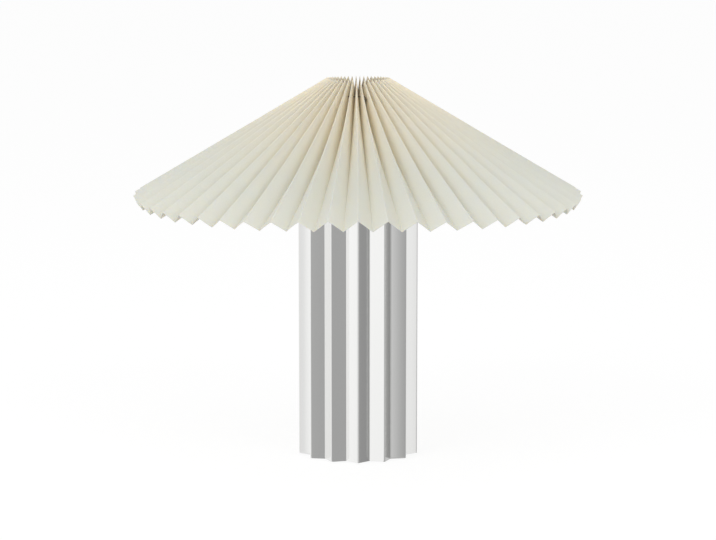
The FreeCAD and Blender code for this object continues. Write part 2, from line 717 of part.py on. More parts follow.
def globe_outline(inset):
    """Return the glass's outline at an inset: neck, blend and globe, open at the neck."""
    blend_r = BULB_NECK_R + BULB_BLEND_R
    blend_z = globe_z - math.sqrt((GLOBE_R + BULB_BLEND_R) ** 2 - blend_r ** 2)
    globe_r = GLOBE_R - inset
    neck_r = BULB_NECK_R - inset
    blend = BULB_BLEND_R + inset
    meet = math.atan2(globe_z - blend_z, blend_r)
    meet_point = V(globe_r * math.cos(meet), 0, globe_z - globe_r * math.sin(meet))
    foot = V(neck_r, 0, cap_top_z - BULB_NECK_IN_CAP)
    neck_end = V(neck_r, 0, blend_z)
    blend_mid = V(blend_r - blend * math.cos(meet / 2), 0, blend_z + blend * math.sin(meet / 2))
    crown = V(0, 0, globe_z + globe_r)
    waist = V(globe_r, 0, globe_z)
    return [Part.makeLine(foot, neck_end), Part.Arc(neck_end, blend_mid, meet_point).toShape(),
            Part.Arc(meet_point, waist, crown).toShape()], foot, crown


def bulb_globe():
    outer, outer_foot, outer_crown = globe_outline(0)
    inner, inner_foot, inner_crown = globe_outline(GLASS_WALL)
    joins = [Part.makeLine(outer_foot, inner_foot), Part.makeLine(outer_crown, inner_crown)]
    return revolve(outer + inner + joins)


def bulb_cap():
    """Return the screw cap: a thin sleeve drawn in at its foot."""
    inner_r = BULB_CAP_R - BULB_CAP_WALL
    drawn_z = cap_z + BULB_CAP_DRAWN
    return turned([(INSULATOR_TOP_R, cap_z), (BULB_CAP_R, drawn_z), (BULB_CAP_R, cap_top_z),
                   (inner_r, cap_top_z), (inner_r, drawn_z + BULB_CAP_WALL),
                   (INSULATOR_TOP_R, cap_z + 1.5 * BULB_CAP_WALL)])


def bulb_insulator():
    low = bulb_z + TIP_HEIGHT
    high = cap_z + BULB_CAP_DRAWN
    upper_r = INSULATOR_TOP_R - SLIP
    return turned([(0, low), (TIP_R, low), (upper_r, cap_z), (upper_r, high), (0, high)])


def bulb_tip():
    return turned([(0, bulb_z), (TIP_R * 0.6, bulb_z), (TIP_R, bulb_z + TIP_HEIGHT), (0, bulb_z + TIP_HEIGHT)])


def filament_stem():
    """Return the glass foot inside the neck and the post that carries the filaments."""
    flare_z = cap_top_z - BULB_NECK_IN_CAP
    post_top_z = filament_z + FILAMENT_LENGTH
    return turned([(0, flare_z), (STEM_FLARE_R, flare_z), (STEM_FLARE_R, flare_z + STEM_FLARE_THICK),
                   (STEM_R, flare_z + STEM_FLARE_RISE), (STEM_R, filament_z - STEM_POST_TAPER),
                   (STEM_POST_R, filament_z), (STEM_POST_R, post_top_z), (0, post_top_z)])


def led_filaments():
    stick = Part.makeCylinder(FILAMENT_R, FILAMENT_LENGTH, polar(FILAMENT_CIRCLE_R, 0, filament_z))
    return Part.makeCompound([around(stick, 360 * i / FILAMENT_COUNT) for i in range(FILAMENT_COUNT)])


def filament_hoops():
    """Return the wire crosses that hold the filaments at both ends."""
    crosses = []
    for z in (filament_z - HOOP_WIRE_R, filament_z + FILAMENT_LENGTH + HOOP_WIRE_R):
        span = 2 * (FILAMENT_CIRCLE_R + FILAMENT_R)
        bar = Part.makeCylinder(HOOP_WIRE_R, span, V(-span / 2, 0, z), V(1, 0, 0))
        crosses.append(bar.fuse(around(bar, 90)).cut(filament_stem()))
    return Part.makeCompound(crosses)


NODES = {
    "column_sleeve": column_sleeve, "cable_grommet": cable_grommet, "felt_pad": felt_pad,
    "base_plate": base_plate, "ballast": ballast, "tie_rod": tie_rod, "rod_nuts": rod_nuts,
    "rod_washers": rod_washers, "top_cup": top_cup, "terminal_block": terminal_block,
    "terminal_screws": terminal_screws, "block_screws": block_screws,
    "live_lead": lambda: lamp_lead(-1), "neutral_lead": lambda: lamp_lead(1),
    "earth_lead": earth_lead, "earth_lug": earth_lug, "earth_screw": earth_screw,
    "holder_cap": holder_cap, "holder_skirt": holder_skirt, "holder_insert": holder_insert,
    "holder_posts": holder_posts, "thread_shell": thread_shell, "centre_contact": centre_contact,
    "side_contact": side_contact, "lower_shade_ring": lambda: threaded_ring(lower_ring_z),
    "upper_shade_ring": lambda: threaded_ring(upper_ring_z), "carrier_hub": carrier_hub,
    "carrier_wires": carrier_wires, "carrier_ring": carrier_ring, "bulb_globe": bulb_globe,
    "bulb_cap": bulb_cap, "bulb_insulator": bulb_insulator, "bulb_tip": bulb_tip,
    "filament_stem": filament_stem, "led_filaments": led_filaments, "filament_hoops": filament_hoops,
    "pleated_shade": pleated_shade, "gather_string": gather_string, "string_knot": string_knot,
}

os.makedirs("parts", exist_ok=True)
for name, make in NODES.items():
    shape = make()
    bounds = shape.BoundBox
    print("%-18s solids %2d valid %s volume %10.1f  Z %.1f..%.1f  R %.1f" % (
        name, len(shape.Solids), shape.isValid(), shape.Volume, bounds.ZMin, bounds.ZMax, bounds.XMax))
    shape.exportStep("parts/%s.step" % name)
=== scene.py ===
"""Looks of the pleated paper table lamp: a star column of folded aluminium and a cone of pleated paper."""

import math
import random

import bpy
import bmesh
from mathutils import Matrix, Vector


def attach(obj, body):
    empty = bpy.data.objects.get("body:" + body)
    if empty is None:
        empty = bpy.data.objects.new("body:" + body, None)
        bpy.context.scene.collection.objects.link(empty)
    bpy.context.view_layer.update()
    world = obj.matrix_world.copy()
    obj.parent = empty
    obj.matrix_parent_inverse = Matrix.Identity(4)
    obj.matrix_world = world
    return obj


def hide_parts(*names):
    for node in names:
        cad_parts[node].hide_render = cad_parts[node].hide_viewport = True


MM = 0.001

# Shade, in millimetres, as in the part's source. Folds and the facets after them are counted from the
# front fold towards +X. Even folds are outer ones, or ridges, and odd folds are inner ones, or valleys.
PLEATS = 51
RIM_R = 225.0
TOP_R = 32.0
TOP_Z = 383.0
SHADE_HEIGHT = 120.0
FACET_WIDTH = 16.8
PAPER = 0.35
STRING_SLANT = 15.0          # down the slant from the top
STRING_DEPTH = 9.5           # and in from the outer folds
FOLDS = 2 * PLEATS
SLANT = math.hypot(SHADE_HEIGHT, RIM_R - TOP_R)
SLOPE = math.atan2(SHADE_HEIGHT, RIM_R - TOP_R)
HALF_PITCH = math.pi / PLEATS        # round the cone from one fold to the next

# Column, in millimetres, as in the part's source. Its corners and facets are counted the same way.
COLUMN_POINTS = 14
COLUMN_OUTER_R = 62.0
COLUMN_INNER_R = 52.8
COLUMN_BOTTOM_Z = 2.0
COLUMN_TOP_Z = 262.0
COLUMN_WALL = 1.0
FOLD_OUTER_R = 0.8
FOLD_INNER_R = 0.3
GROMMET_Z = 36.0
GROMMET_HOLE_R = 4.7
GROMMET_FACET = 14

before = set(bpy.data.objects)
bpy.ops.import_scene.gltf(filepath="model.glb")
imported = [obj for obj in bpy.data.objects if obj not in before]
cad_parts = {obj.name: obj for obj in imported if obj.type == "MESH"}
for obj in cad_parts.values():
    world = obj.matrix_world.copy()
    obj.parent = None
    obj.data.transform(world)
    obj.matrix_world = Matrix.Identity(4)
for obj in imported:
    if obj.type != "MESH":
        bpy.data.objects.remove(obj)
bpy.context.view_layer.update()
scene = bpy.context.scene
scene.view_settings.view_transform = "Standard"


# ---- helpers ------------------------------------------------------------------------

def polar(radius, azimuth, z):
    """Return a point in metres; the azimuth is in radians, from the front towards +X."""
    return Vector((radius * math.sin(azimuth) * MM, -radius * math.cos(azimuth) * MM, z * MM))


def bell(offset, width):
    """Return a smooth bump that is 1 where there is no offset and falls away over a width."""
    return math.exp(-(offset / width) ** 2)


def add_points(verts, points):
    """Add points to the vertices and return their numbers."""
    first = len(verts)
    verts.extend(points)
    return list(range(first, len(verts)))


def run_together(groups):
    return [member for group in groups for member in group]


def wall_between(loop, other):
    """Return the faces that join two closed loops of as many points."""
    count = len(loop)
    return [(loop[k], loop[(k + 1) % count], other[(k + 1) % count], other[k]) for k in range(count)]


def new_piece(name, verts, faces, body, material):
    mesh = bpy.data.meshes.new(name)
    mesh.from_pydata([tuple(v) for v in verts], [], faces)
    mesh.validate()
    mesh.update()
    for face in mesh.polygons:
        face.use_smooth = True
    mesh.materials.append(material)
    piece = bpy.data.objects.new(name, mesh)
    scene.collection.objects.link(piece)
    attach(piece, body)
    return piece


def face_outward(piece, sharp_angle):
    """Turn every face outward and shade smoothly, except across folds sharper than an angle in degrees."""
    mesh = bmesh.new()
    mesh.from_mesh(piece.data)
    bmesh.ops.recalc_face_normals(mesh, faces=mesh.faces)
    mesh.to_mesh(piece.data)
    mesh.free()
    piece.data.set_sharp_from_angle(angle=math.radians(sharp_angle))


# ---- finishes -----------------------------------------------------------------------

def finish_of(name, colour, roughness, metallic=0.0, **sockets):
    """Return a material; other sockets of the shader are named with _ for each space."""
    material = bpy.data.materials.new(name)
    material.use_nodes = True
    shader = material.node_tree.nodes["Principled BSDF"]
    shader.inputs["Base Color"].default_value = (*colour, 1.0)
    shader.inputs["Roughness"].default_value = roughness
    shader.inputs["Metallic"].default_value = metallic
    for socket, value in sockets.items():
        shader.inputs[socket.replace("_", " ")].default_value = value
    return material


def noise(material, scale, detail, stretch=(1, 1, 1)):
    """Add a noise texture over the object's own coordinates and return its value socket."""
    nodes, links = material.node_tree.nodes, material.node_tree.links
    coordinates = nodes.new("ShaderNodeTexCoord")
    mapping = nodes.new("ShaderNodeMapping")
    mapping.inputs["Scale"].default_value = stretch
    texture = nodes.new("ShaderNodeTexNoise")
    texture.inputs["Scale"].default_value = scale
    texture.inputs["Detail"].default_value = detail
    links.new(coordinates.outputs["Object"], mapping.inputs["Vector"])
    links.new(mapping.outputs["Vector"], texture.inputs["Vector"])
    return texture.outputs["Fac"]


def bumped(material, value, strength, height):
    """Roughen the surface along a value, by a height in metres."""
    nodes, links = material.node_tree.nodes, material.node_tree.links
    bump = nodes.new("ShaderNodeBump")
    bump.inputs["Strength"].default_value = strength
    bump.inputs["Distance"].default_value = height
    links.new(value, bump.inputs["Height"])
    links.new(bump.outputs["Normal"], nodes["Principled BSDF"].inputs["Normal"])


def mottled(material, value, colour, dark, light):
    """Vary the base colour along a value, between its shares dark and light."""
    nodes, links = material.node_tree.nodes, material.node_tree.links
    ramp = nodes.new("ShaderNodeValToRGB")
    for element, position, share in zip(ramp.color_ramp.elements, (0.3, 0.7), (dark, light)):
        element.position = position
        element.color = (*(min(1.0, channel * share) for channel in colour), 1.0)
    links.new(value, ramp.inputs["Fac"])
    links.new(ramp.outputs["Color"], nodes["Principled BSDF"].inputs["Base Color"])


def tinted(material, colour, factor, full_at):
    """Mix another colour into the base colour, all of it where the factor is full_at, which is 0 or 1."""
    nodes, links = material.node_tree.nodes, material.node_tree.links
    base = nodes["Principled BSDF"].inputs["Base Color"]
    plain = base.links[0].from_socket
    mix = nodes.new("ShaderNodeMix")
    mix.data_type = "RGBA"
    tint_side, plain_side = ("A", "B") if full_at == 0 else ("B", "A")
    mix.inputs[tint_side].default_value = (*colour, 1.0)
    links.new(factor, mix.inputs["Factor"])
    links.new(plain, mix.inputs[plain_side])
    links.new(mix.outputs["Result"], base)


def tinted_near_axis(material, colour, near, far):
    """Tint the base colour by distance from the lamp's axis: full at near, none at far, in metres."""
    nodes, links = material.node_tree.nodes, material.node_tree.links
    coordinates = nodes.new("ShaderNodeTexCoord")
    flat = nodes.new("ShaderNodeVectorMath")
    flat.operation = "MULTIPLY"
    flat.inputs[1].default_value = (1, 1, 0)
    length = nodes.new("ShaderNodeVectorMath")
    length.operation = "LENGTH"
    reach = nodes.new("ShaderNodeMapRange")
    reach.interpolation_type = "SMOOTHSTEP"
    reach.inputs["From Min"].default_value = near
    reach.inputs["From Max"].default_value = far
    links.new(coordinates.outputs["Object"], flat.inputs[0])
    links.new(flat.outputs["Vector"], length.inputs[0])
    links.new(length.outputs["Value"], reach.inputs["Value"])
    tinted(material, colour, reach.outputs["Result"], 0)


def painted_shade_in_folds(material, colour):
    """Paint shade into the base colour, as much as the mesh's own painted-shade attribute gives: none at 0,
    full at 1.
    """
    painted_shade_node = material.node_tree.nodes.new("ShaderNodeAttribute")
    painted_shade_node.attribute_name = "painted_fold_shade"
    tinted(material, colour, painted_shade_node.outputs["Fac"], 1)


def grained(name, colour, roughness, grain, bump, **others):
    """Return a finish with a fine bump: the noise's scale and detail, and the bump's strength and height."""
    material = finish_of(name, colour, roughness, **others)
    bumped(material, noise(material, *grain), *bump)
    return material


def paper_finish():
    """Ivory paper that light passes into, with painted light that makes it lighter and warmer towards the
    neck, and painted shade in the inner folds and at the top.
    """
    colour = (0.745, 0.738, 0.654)
    material = finish_of("ivory_paper", colour, 0.88, Subsurface_Weight=0.4,
                         Subsurface_Radius=(1.0, 0.7, 0.4), Subsurface_Scale=0.003)
    fibres = noise(material, 900, 6)
    mottled(material, fibres, colour, 0.98, 1.015)
    # painted light: a glow painted into the paper's colour, lighter and warmer towards the neck
    tinted_near_axis(material, (0.98, 0.885, 0.70), 0.030, 0.190)
    # painted shade: the paper darker close to the axis, at the neck
    tinted_near_axis(material, (0.50, 0.43, 0.34), 0.024, 0.033)
    # painted shade in the inner folds, across the facets and on the paper's inside at the neck
    painted_shade_in_folds(material, (0.34, 0.28, 0.19))
    bumped(material, fibres, 0.12, 0.0002)
    return material


def string_finish():
    """Matt brown thread, unevenly dyed."""
    colour = (0.20, 0.17, 0.13)
    material = finish_of("string", colour, 0.9)
    mottled(material, noise(material, 1500, 4), colour, 0.8, 1.15)
    return material


def aluminium_finish():
    """Bright sheet with long, shallow waves that run up the column."""
    material = finish_of("aluminium", (0.86, 0.86, 0.85), 0.11, 1.0)
    bumped(material, noise(material, 60, 3, (1, 1, 0.3)), 0.04, 0.0005)
    return material


def lead_finish(name, colour):
    return grained(name, colour, 0.45, (1200, 3), (0.08, 0.0002))


paper = paper_finish()
thread = string_finish()
aluminium = aluminium_finish()
felt = grained("felt", (0.03, 0.03, 0.03), 1.0, (2500, 5), (0.5, 0.0003))
iron = grained("iron", (0.12, 0.12, 0.12), 0.65, (700, 5), (0.4, 0.0004), metallic=0.6)
zinc = grained("zinc_steel", (0.62, 0.62, 0.60), 0.32, (500, 3), (0.08, 0.0002), metallic=1.0)
lacquer = grained("white_lacquer", (0.82, 0.81, 0.78), 0.38, (900, 3), (0.05, 0.0002))
holder_plastic = grained("holder_plastic", (0.84, 0.83, 0.79), 0.25, (300, 2), (0.03, 0.0002))
porcelain = grained("porcelain", (0.85, 0.83, 0.78), 0.15, (400, 3), (0.08, 0.0003), Coat_Weight=0.4)
brass = grained("contact_brass", (0.78, 0.58, 0.28), 0.3, (800, 3), (0.08, 0.0002), metallic=1.0)
block_plastic = grained("block_plastic", (0.80, 0.80, 0.77), 0.5, (700, 3), (0.06, 0.0002))
grommet_plastic = grained("grommet_plastic", (0.74, 0.74, 0.72), 0.5, (900, 3), (0.08, 0.0002))
opal = grained("opal_glass", (0.93, 0.92, 0.89), 0.12, (120, 2), (0.02, 0.0002), Coat_Weight=0.5)
nickel = grained("nickel_cap", (0.72, 0.72, 0.70), 0.25, (700, 3), (0.06, 0.0002), metallic=1.0)
black_glass = grained("black_glass", (0.02, 0.02, 0.025), 0.12, (500, 3), (0.05, 0.0002))
clear_glass = grained("clear_glass", (0.95, 0.97, 0.97), 0.05, (300, 2), (0.03, 0.0002),
                      Transmission_Weight=1.0, IOR=1.5)
phosphor = grained("phosphor", (0.90, 0.70, 0.18), 0.55, (3000, 3), (0.2, 0.0002))
fine_wire = grained("fine_wire", (0.60, 0.60, 0.60), 0.3, (3000, 2), (0.05, 0.0001), metallic=1.0)

SHOWN_NODES = {
    "base_plate": aluminium,
    "felt_pad": felt, "ballast": iron,
    "tie_rod": zinc, "rod_nuts": zinc, "rod_washers": zinc, "terminal_screws": zinc,
    "block_screws": zinc, "earth_screw": zinc,
    "top_cup": lacquer, "carrier_hub": lacquer, "carrier_wires": lacquer, "carrier_ring": lacquer,
    "holder_cap": holder_plastic, "holder_skirt": holder_plastic,
    "lower_shade_ring": holder_plastic, "upper_shade_ring": holder_plastic,
    "holder_insert": porcelain, "holder_posts": brass, "thread_shell": brass,
    "centre_contact": brass, "side_contact": brass, "earth_lug": brass, "bulb_tip": brass,
    "terminal_block": block_plastic, "cable_grommet": grommet_plastic,
    "live_lead": lead_finish("brown_lead", (0.13, 0.05, 0.02)),
    "neutral_lead": lead_finish("blue_lead", (0.03, 0.10, 0.42)),
    "earth_lead": lead_finish("earth_lead", (0.20, 0.42, 0.06)),
    "bulb_globe": opal, "bulb_cap": nickel, "bulb_insulator": black_glass,
    "filament_stem": clear_glass, "led_filaments": phosphor, "filament_hoops": fine_wire,
}
for name, material in SHOWN_NODES.items():
    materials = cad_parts[name].data.materials
    materials.clear()
    materials.append(material)


# ---- paper: where its folds lie -----------------------------------------------------

FRONT_SPREAD = math.radians(20)
RIDGE_LIFT = 2.9             # the outer folds' ends stand higher at the front
VALLEY_LIFT = 0.3
RIM_SAG = 1.4                # and all ends hang lower away from it
SAG_BEND = 1.6               # the higher, the nearer to the rim this starts
SIDE_LIFT = 6.8              # but the sides and the back stand flatter than the cone
SIDE_FROM = math.radians(50)
SIDE_FULL = math.radians(106)
RING_SHARE = 0.05            # the paper rests on the carrier's ring up here
SIDE_SPREAD = 1.8            # the sides also stand a little further out at the rim
SIDE_SPREAD_AT = math.radians(85)
SIDE_SPREAD_WIDTH = math.radians(24)
TOP_SHIFT = 1.4              # the front folds crowd to the left at the top
RIGHT_TURN = math.radians(1.0)           # and those on the right stand further round at the rim
RIGHT_TURN_AT = math.radians(62)
RIGHT_TURN_SPREAD = math.radians(30)

# How uneven the folding is: turns and bows in half pitches, the others in millimetres.
PAPER_SEED = 51
TURN_SPREAD = 0.016
BOW_SPREAD = 0.010
BULGE_MEAN = 0.05
BULGE_SPREAD = 0.16
TWIST_SPREAD = 0.12
DEPTH_SPREAD = 0.12
RIDGE_DEPTH_SHARE = 0.5      # an outer fold wanders in and out this much of what an inner fold does
TURN_AT_TOP = 0.25           # the share of its turn that a fold has at the top
BULGE_AT_TOP = 0.2           # and the share of its bulge that a facet has there

draw = random.Random(PAPER_SEED)
fold_turn = [draw.gauss(0, TURN_SPREAD) * HALF_PITCH for _ in range(FOLDS)]
fold_bow = [draw.gauss(0, BOW_SPREAD) * HALF_PITCH for _ in range(FOLDS)]
facet_bulge = [draw.gauss(BULGE_MEAN, BULGE_SPREAD) for _ in range(FOLDS)]
facet_twist = [draw.gauss(0, TWIST_SPREAD) for _ in range(FOLDS)]
depth_off = [draw.gauss(0, DEPTH_SPREAD) for _ in range(FOLDS)]


def pleat_depth(ridge_r):
    """Return how deep a pleat of full facets is where its outer folds have this radius."""
    narrow = 1 - math.cos(HALF_PITCH)
    lean = ridge_r * math.sin(SLOPE) * narrow
    return lean + math.sqrt(lean ** 2 + FACET_WIDTH ** 2 - 2 * ridge_r ** 2 * narrow)


def lifted(azimuth, valley, share):
    """Return how far a fold stands above the even cone, at its azimuth and share of the slant."""
    front = bell(azimuth, FRONT_SPREAD)
    droop = ((VALLEY_LIFT if valley else RIDGE_LIFT) * front - RIM_SAG * (1 - front)) * share ** SAG_BEND
    along = min(1.0, max(0.0, (abs(azimuth) - SIDE_FROM) / (SIDE_FULL - SIDE_FROM)))
    past_ring = max(0.0, (share - RING_SHARE) / (1 - RING_SHARE))
    return droop + SIDE_LIFT * along ** 2 * (3 - 2 * along) * past_ring


def turned(azimuth, share):
    """Return how far a fold is turned from its even place round the cone."""
    right = RIGHT_TURN * bell(azimuth - RIGHT_TURN_AT, RIGHT_TURN_SPREAD) * share
    crowded = TOP_SHIFT / TOP_R * math.cos(azimuth / 2) ** 4 * (1 - share) ** 4
    return right - crowded


def fold_point(index, slant):
    """Return the middle of the paper at a fold, this far down the slant."""
    valley = index % 2 == 1
    share = slant / SLANT
    ridge_r = TOP_R + slant * math.cos(SLOPE)
    if valley:
        depth = pleat_depth(ridge_r) + depth_off[index] * share
    else:
        depth = -depth_off[index] * share * RIDGE_DEPTH_SHARE
    even = (index * HALF_PITCH + math.pi) % (2 * math.pi) - math.pi
    azimuth = even + turned(even, share)
    azimuth += fold_turn[index] * min(1.0, TURN_AT_TOP + share) + fold_bow[index] * math.sin(math.pi * share)
    radius = ridge_r - depth * math.sin(SLOPE)
    radius += SIDE_SPREAD * bell(abs(even) - SIDE_SPREAD_AT, SIDE_SPREAD_WIDTH) * share ** 3
    z = TOP_Z - slant * math.sin(SLOPE) - depth * math.cos(SLOPE) + lifted(even, valley, share)
    return polar(radius, azimuth, z)


# ---- paper: its mesh ----------------------------------------------------------------

# A side is 1 for the paper's outer face and -1 for its inner one.
HOLE_R = 1.0
HOLE_SIDES = 8
HOLE_CELL = 1.3              # half the square of paper that is cut for a hole
HOLE_AT = STRING_DEPTH / pleat_depth(TOP_R + STRING_SLANT * math.cos(SLOPE))
HALF_CELL = HOLE_CELL / FACET_WIDTH
FACET_MARKS = (0.22, HOLE_AT - HALF_CELL, HOLE_AT + HALF_CELL, 0.82)     # across a facet, from its outer fold
SHARPEST_COSINE = 0.06       # inside a bend, the two surfaces meet no further in than these allow
LONGEST_MITRE = 6
ROW_STEP = 8.0               # between the rows of points down the slant
SHORTEST_ROW = 1.0           # the last step is no shorter than this

CREASE_PAINTED_SHADE = 0.13           # painted shade: a dark line along the inner folds
CREASE_RISE = 0.6            # which is strongest a third of the way down
CREASE_FALL = 4
FACET_PAINTED_SHADE = 0.11            # and a faint painted shade across each facet, darker towards its inner fold
FACET_FALL = 1.5
FACET_FADE = 0.4             # which loses this share by the rim
NECK_PAINTED_SHADE = 0.6              # and painted shade on the paper's inside at the neck, down to a share of the slant
NECK_SHARE = 0.12

slants = [0.0, 1.5, 4.0, 8.0, STRING_SLANT - HOLE_CELL, STRING_SLANT + HOLE_CELL, 22.0, 28.0]
hole_row = slants.index(STRING_SLANT - HOLE_CELL)
while slants[-1] + ROW_STEP < SLANT - SHORTEST_ROW:
    slants.append(slants[-1] + ROW_STEP)
slants.append(SLANT)


def painted_fold_shade(inward, share, side):
    """Return how much painted shade the paper takes, from the outer fold (0) to the inner (1), at a share of
    the slant.
    """
    crease = CREASE_PAINTED_SHADE * math.sin(math.pi * share ** CREASE_RISE) ** 2 * inward ** CREASE_FALL
    facet = FACET_PAINTED_SHADE * (1 - FACET_FADE * share) * inward ** FACET_FALL
    neck = NECK_PAINTED_SHADE * max(0.0, 1 - share / NECK_SHARE) if side == -1 else 0.0
    return crease + facet + neck


def facet_frames(rows, row):
    """Return each facet's edge, from its first fold to the next, and its outward normal, along a row."""
    folds = rows[row]
    above, below = rows[max(row - 1, 0)], rows[min(row + 1, len(rows) - 1)]
    down = [(lower - upper).normalized() for upper, lower in zip(above, below)]
    edges, normals = [], []
    for i, fold in enumerate(folds):
        after = (i + 1) % FOLDS
        edge = folds[after] - fold
        normal = edge.cross((down[i] + down[after]).normalized()).normalized()
        around = Vector((fold.x, fold.y, 0)).normalized()
        if normal.dot(around * math.sin(SLOPE) + Vector((0, 0, math.cos(SLOPE)))) < 0:
            normal = -normal
        edges.append(edge)
        normals.append(normal)
    return edges, normals


def fold_points(fold, before, after, side, outside):
    """Return a fold's points on one side, from its facets' normals: three outside its bend, or one inside."""
    half = PAPER / 2 * MM
    middle = (before + after).normalized()
    if outside:
        return [fold + side * half * normal for normal in (before, middle, after)]
    mitre = min(half / max(SHARPEST_COSINE, middle.dot(after)), LONGEST_MITRE * half)
    return [fold + side * mitre * middle]


def marks_of(facet):
    """Return the facet's marks in the order in which they come round the cone."""
    return FACET_MARKS if facet % 2 == 0 else FACET_MARKS[::-1]


def facet_points(facet, fold, edge, normal, share, side):
    """Return the points across a facet on one side, at its marks."""
    points = []
    for mark in marks_of(facet):
        u = mark if facet % 2 == 0 else 1 - mark
        bulge = facet_bulge[facet] * 4 * u * (1 - u) * min(1.0, BULGE_AT_TOP + share)
        bulge += facet_twist[facet] * math.sin(2 * math.pi * u) * math.sin(math.pi * share)
        points.append(fold + edge * u + normal * (side * PAPER / 2 + bulge) * MM)
    return points


def add_side(rows, frames, side, verts, painted_shades):
    """Add one side's points; return their numbers by row, in a group at each fold and one on its facet."""
    numbers = []
    for slant, folds, (edges, normals) in zip(slants, rows, frames):
        share = slant / SLANT
        groups = []
        for i, fold in enumerate(folds):
            ridge = i % 2 == 0
            bend = fold_points(fold, normals[i - 1], normals[i], side, ridge == (side == 1))
            groups.append(add_points(verts, bend))
            painted_shades.extend([painted_fold_shade(i % 2, share, side)] * len(bend))
            groups.append(add_points(verts, facet_points(i, fold, edges[i], normals[i], share, side)))
            painted_shades.extend(painted_fold_shade(mark, share, side) for mark in marks_of(i))
        numbers.append(groups)
    return numbers


def facing(face, side):
    return face if side == 1 else face[::-1]


def add_hole(corners, side, verts, faces):
    """Cut a round hole in a cell, whose corners go clockwise from its lower right, and return its ring."""
    c, d, a, b = (verts[n] for n in corners)
    centre = (a + b + c + d) / 4
    wide = ((b + c) - (a + d)).normalized()
    down = ((c + d) - (a + b)).normalized()
    points = []
    for k in range(HOLE_SIDES):
        turn = (2 * k + 1) * math.pi / HOLE_SIDES
        points.append(centre + (wide * math.cos(turn) + down * math.sin(turn)) * HOLE_R * MM)
    ring = add_points(verts, points)
    for k, corner in enumerate(corners):
        near, far, beyond = (ring[(2 * k + step) % HOLE_SIDES] for step in range(3))
        faces.append(facing((corner, far, near), side))
        faces.append(facing((corner, corners[(k + 1) % 4], beyond, far), side))
    return ring


def add_cut_edge(outer, inner, flip, faces):
    """Join the two sides along the strip's upper or lower edge, group by group."""
    def add(face, turned_over):
        faces.append(face[::-1] if turned_over else face)

    for g, (here, under) in enumerate(zip(outer, inner)):
        after = (g + 1) % len(outer)
        if len(here) == len(under):
            for k in range(len(here) - 1):
                add((here[k], here[k + 1], under[k + 1], under[k]), flip)
        else:
            many, one = (here, under[0]) if len(under) == 1 else (under, here[0])
            for k in range(len(many) - 1):
                add((many[k], many[k + 1], one), (many is under) != flip)
        add((here[-1], outer[after][0], inner[after][0], under[-1]), flip)


def build_paper():
    """Return the vertices, faces and painted shade of the folded strip, closed round, with both its sides."""
    rows = [[fold_point(i, slant) for i in range(FOLDS)] for slant in slants]
    frames = [facet_frames(rows, row) for row in range(len(rows))]
    verts, faces, painted_shades = [], [], []
    numbers = {side: add_side(rows, frames, side, verts, painted_shades) for side in (1, -1)}
    rings = {1: [], -1: []}
    for side in (1, -1):
        for row in range(len(slants) - 1):
            pierced = {group[1] for group in numbers[side][row][1::2]} if row == hole_row else set()
            upper, lower = run_together(numbers[side][row]), run_together(numbers[side][row + 1])
            for k, a in enumerate(upper):
                after = (k + 1) % len(upper)
                b, c, d = upper[after], lower[after], lower[k]
                if a in pierced:
                    rings[side].append(add_hole((c, d, a, b), side, verts, faces))
                    painted_shades.extend([0.0] * HOLE_SIDES)
                else:
                    faces.append(facing((a, d, c, b), side))
    for outer, inner in zip(rings[1], rings[-1]):
        faces.extend(wall_between(outer, inner))
    add_cut_edge(numbers[1][0], numbers[-1][0], False, faces)
    add_cut_edge(numbers[1][-1], numbers[-1][-1], True, faces)
    return verts, faces, painted_shades


paper_verts, paper_faces, paper_painted_shades = build_paper()
shade = new_piece("shade_paper", paper_verts, paper_faces, "shade", paper)
face_outward(shade, 20)
# each point's painted shade, which the paper's finish reads as an attribute
assert len(paper_painted_shades) == len(shade.data.vertices)
shade.data.attributes.new("painted_fold_shade", "FLOAT", "POINT").data.foreach_set("value", paper_painted_shades)
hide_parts("pleated_shade")


# ---- column -------------------------------------------------------------------------

ARC_STEPS = 4
WIDTH_MARKS = (0.05, 0.14, 0.38, 0.62, 0.86, 0.95)       # across a facet
HOLE_LEFT, HOLE_MIDDLE, HOLE_RIGHT = 1, 2, 4             # marks beside the cable's hole, and one between
GROMMET_CELL = 7.0           # half the height of the stretch of facet that the hole is cut in
GROMMET_SIDES = 24
COLUMN_LEVELS = (COLUMN_BOTTOM_Z, GROMMET_Z - GROMMET_CELL, GROMMET_Z + GROMMET_CELL,
                 75.0, 110.0, 145.0, 180.0, 215.0, 245.0, COLUMN_TOP_Z)
PIERCED_LEVEL = 1            # the hole is above this one

# Each side's inset and the radii of its bends, at the outer and at the inner folds.
COLUMN_SIDES = ((0.0, (FOLD_OUTER_R, FOLD_INNER_R)), (COLUMN_WALL, (FOLD_INNER_R, FOLD_OUTER_R)))

# How far the facets are crowned, in millimetres, and those where the light shows how far.
COLUMN_SEED = 14
BOW_MEAN = 0.04
BOW_DEVIATION = 0.02
SEEN_BOWS = {3: 0.16, 5: 0.09, 22: 0.12, 24: 0.01}

bow_draw = random.Random(COLUMN_SEED)
facet_bow = [bow_draw.gauss(BOW_MEAN, BOW_DEVIATION) for _ in range(2 * COLUMN_POINTS)]
facet_bow[GROMMET_FACET] = 0.0
for facet, bow in SEEN_BOWS.items():
    facet_bow[facet] = bow


def star_corners(inset):
    """Return the star's corners in plan, moved inward by a wall."""
    half = math.pi / COLUMN_POINTS
    lean = math.atan2(COLUMN_OUTER_R - COLUMN_INNER_R * math.cos(half), COLUMN_INNER_R * math.sin(half))
    radii = (COLUMN_OUTER_R - inset / math.cos(lean), COLUMN_INNER_R - inset / math.cos(lean - half))
    return [Vector((radii[i % 2] * math.sin(i * half), -radii[i % 2] * math.cos(i * half)))
            for i in range(2 * COLUMN_POINTS)]


